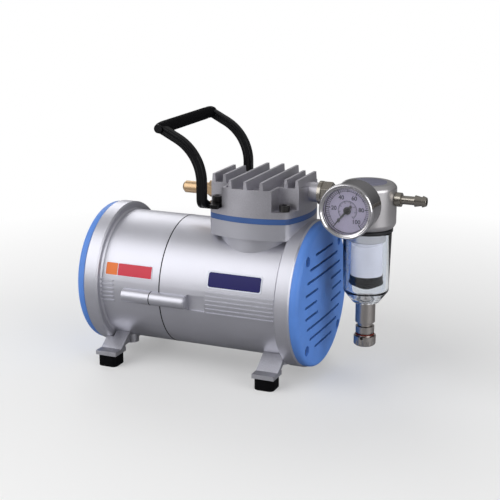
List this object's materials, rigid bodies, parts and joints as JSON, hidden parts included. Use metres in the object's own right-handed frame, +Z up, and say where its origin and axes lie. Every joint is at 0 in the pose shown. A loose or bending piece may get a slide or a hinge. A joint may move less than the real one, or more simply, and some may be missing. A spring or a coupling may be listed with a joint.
{
  "type": "vacuum pump",
  "caption": "Oil-free piston vacuum pump: tubular motor and crank body on rubber feet, finned head with a bent handle, vacuum gauge and clear moisture trap",
  "frame": {"origin": "middle of the bounding box at floor height, under the four rubber feet", "axes": "+X along the shaft towards the moisture trap, +Y to the rear where the switch box is, +Z up; the gauge faces -Y"},
  "size_m": [0.2826, 0.136, 0.2106],
  "materials": {
    "silver_paint": "fine metallic silver paint",
    "blue_plastic": "moulded blue plastic, satin",
    "blue_paint": "blue paint",
    "cast_aluminium": "cast and blasted",
    "machined_aluminium": "turned, bright",
    "black_steel": "black powder coat",
    "black_rubber": "soft, matt",
    "black_plastic": "fine grain",
    "steel": "zinc plated",
    "chrome": "polished",
    "lamination": "stacked electrical sheet",
    "copper": "enamelled copper wire",
    "brass": "plain",
    "clear_plastic": "clear, polished",
    "white_dial": "printed sheet",
    "ivory_ptfe": "sintered",
    "pointer": "painted",
    "grey_plastic": "plain"
  },
  "bodies": {
    "pump": {"motor_housing": "silver_paint", "crankcase": "silver_paint", "housing_screws": "steel", "left_fan_cover": "blue_plastic", "right_fan_cover": "blue_plastic", "cover_screws": "black_steel", "left_leg": "silver_paint", "right_leg": "silver_paint", "leg_screws": "steel", "foot_screws": "steel", "front_left_foot": "black_rubber", "front_right_foot": "black_rubber", "rear_left_foot": "black_rubber", "rear_right_foot": "black_rubber", "stator_core": "lamination", "stator_windings": "copper", "bearing_outer_rings": "steel", "cylinder_sleeve": "machined_aluminium", "valve_plate": "blue_paint", "reed_screws": "steel", "cylinder_head": "cast_aluminium", "head_bolts": "steel", "handle_front_arm": "black_steel", "handle_rear_arm": "black_steel", "handle_grip": "black_rubber", "handle_screws": "black_steel", "exhaust_muffler": "brass", "intake_nipple": "steel", "trap_head": "cast_aluminium", "hose_barb": "steel", "filter_element": "ivory_ptfe", "filter_baffle": "black_plastic", "gauge_case": "chrome", "gauge_dial": "white_dial", "gauge_lens": "clear_plastic", "gauge_bezel": "chrome", "switch_box": "black_plastic", "cord_gland": "black_plastic", "run_capacitor": "grey_plastic"},
    "rotor": {"motor_shaft": "steel", "rotor_core": "lamination", "left_fan": "black_plastic", "right_fan": "black_plastic", "crank_eccentric": "cast_aluminium", "bearing_inner_rings": "steel", "big_end_inner_ring": "steel"},
    "rod": {"connecting_rod": "cast_aluminium", "big_end_outer_ring": "steel", "piston_cup": "ivory_ptfe", "piston_clamp": "machined_aluminium", "piston_screw": "steel"},
    "intake_valve": {"intake_reed": "steel"},
    "exhaust_valve": {"exhaust_reed": "steel"},
    "pointer": {"gauge_pointer": "pointer"},
    "rocker": {"power_switch": "black_plastic"},
    "collar": {"bowl_collar": "black_plastic"},
    "bowl": {"trap_bowl": "clear_plastic", "drain_body": "chrome"},
    "knob": {"drain_knob": "chrome"},
    "needle": {"drain_needle": "steel"}
  },
  "joints": [
    {"name": "shaft_spin", "type": "hinge", "parent": "pump", "child": "rotor", "pos_m": [0.0054, -0.007, 0.069], "axis": [1, 0, 0], "continuous": true},
    {"name": "rod_swing", "type": "hinge", "parent": "rotor", "child": "rod", "pos_m": [0.0054, -0.007, 0.0722], "axis": [1, 0, 0], "continuous": true},
    {"name": "intake_reed_lift", "type": "hinge", "parent": "pump", "child": "intake_valve", "pos_m": [0.0169, -0.018, 0.13485], "axis": [-1, 0, 0], "range_deg": [0, 3.5], "stiffness_Nm_per_rad": 0.002},
    {"name": "exhaust_reed_lift", "type": "hinge", "parent": "pump", "child": "exhaust_valve", "pos_m": [-0.0061, -0.018, 0.13775], "axis": [1, 0, 0], "range_deg": [0, 3.5], "stiffness_Nm_per_rad": 0.002},
    {"name": "pointer_turn", "type": "hinge", "parent": "pump", "child": "pointer", "pos_m": [0.0939, -0.059, 0.154], "axis": [0, 1, 0], "range_deg": [0, 280], "stiffness_Nm_per_rad": 0.0001},
    {"name": "switch_rock", "type": "hinge", "parent": "pump", "child": "rocker", "pos_m": [-0.08365, 0.0558, 0.092], "axis": [-1, 0, 0], "range_deg": [0, 16]},
    {"name": "collar_turn", "type": "hinge", "parent": "pump", "child": "collar", "pos_m": [0.0939, -0.007, 0.128], "axis": [0, 0, 1], "range_deg": [0, 720]},
    {"name": "bowl_drop", "type": "slide", "parent": "collar", "child": "bowl", "axis": [0, 0, -1], "range_m": [0, 0.003]},
    {"name": "drain_turn", "type": "hinge", "parent": "bowl", "child": "knob", "pos_m": [0.0939, -0.007, 0.039], "axis": [0, 0, 1], "range_deg": [0, 360]},
    {"name": "needle_drop", "type": "slide", "parent": "bowl", "child": "needle", "axis": [0, 0, -1], "range_m": [0, 0.001]}
  ],
  "couplings": [
    {"joint": "rod_swing", "follows": "shaft_spin", "ratio": -1},
    {"joint": "bowl_drop", "follows": "collar_turn", "m_per_rad": 0.00023873},
    {"joint": "needle_drop", "follows": "drain_turn", "m_per_rad": 0.00015915}
  ]
}
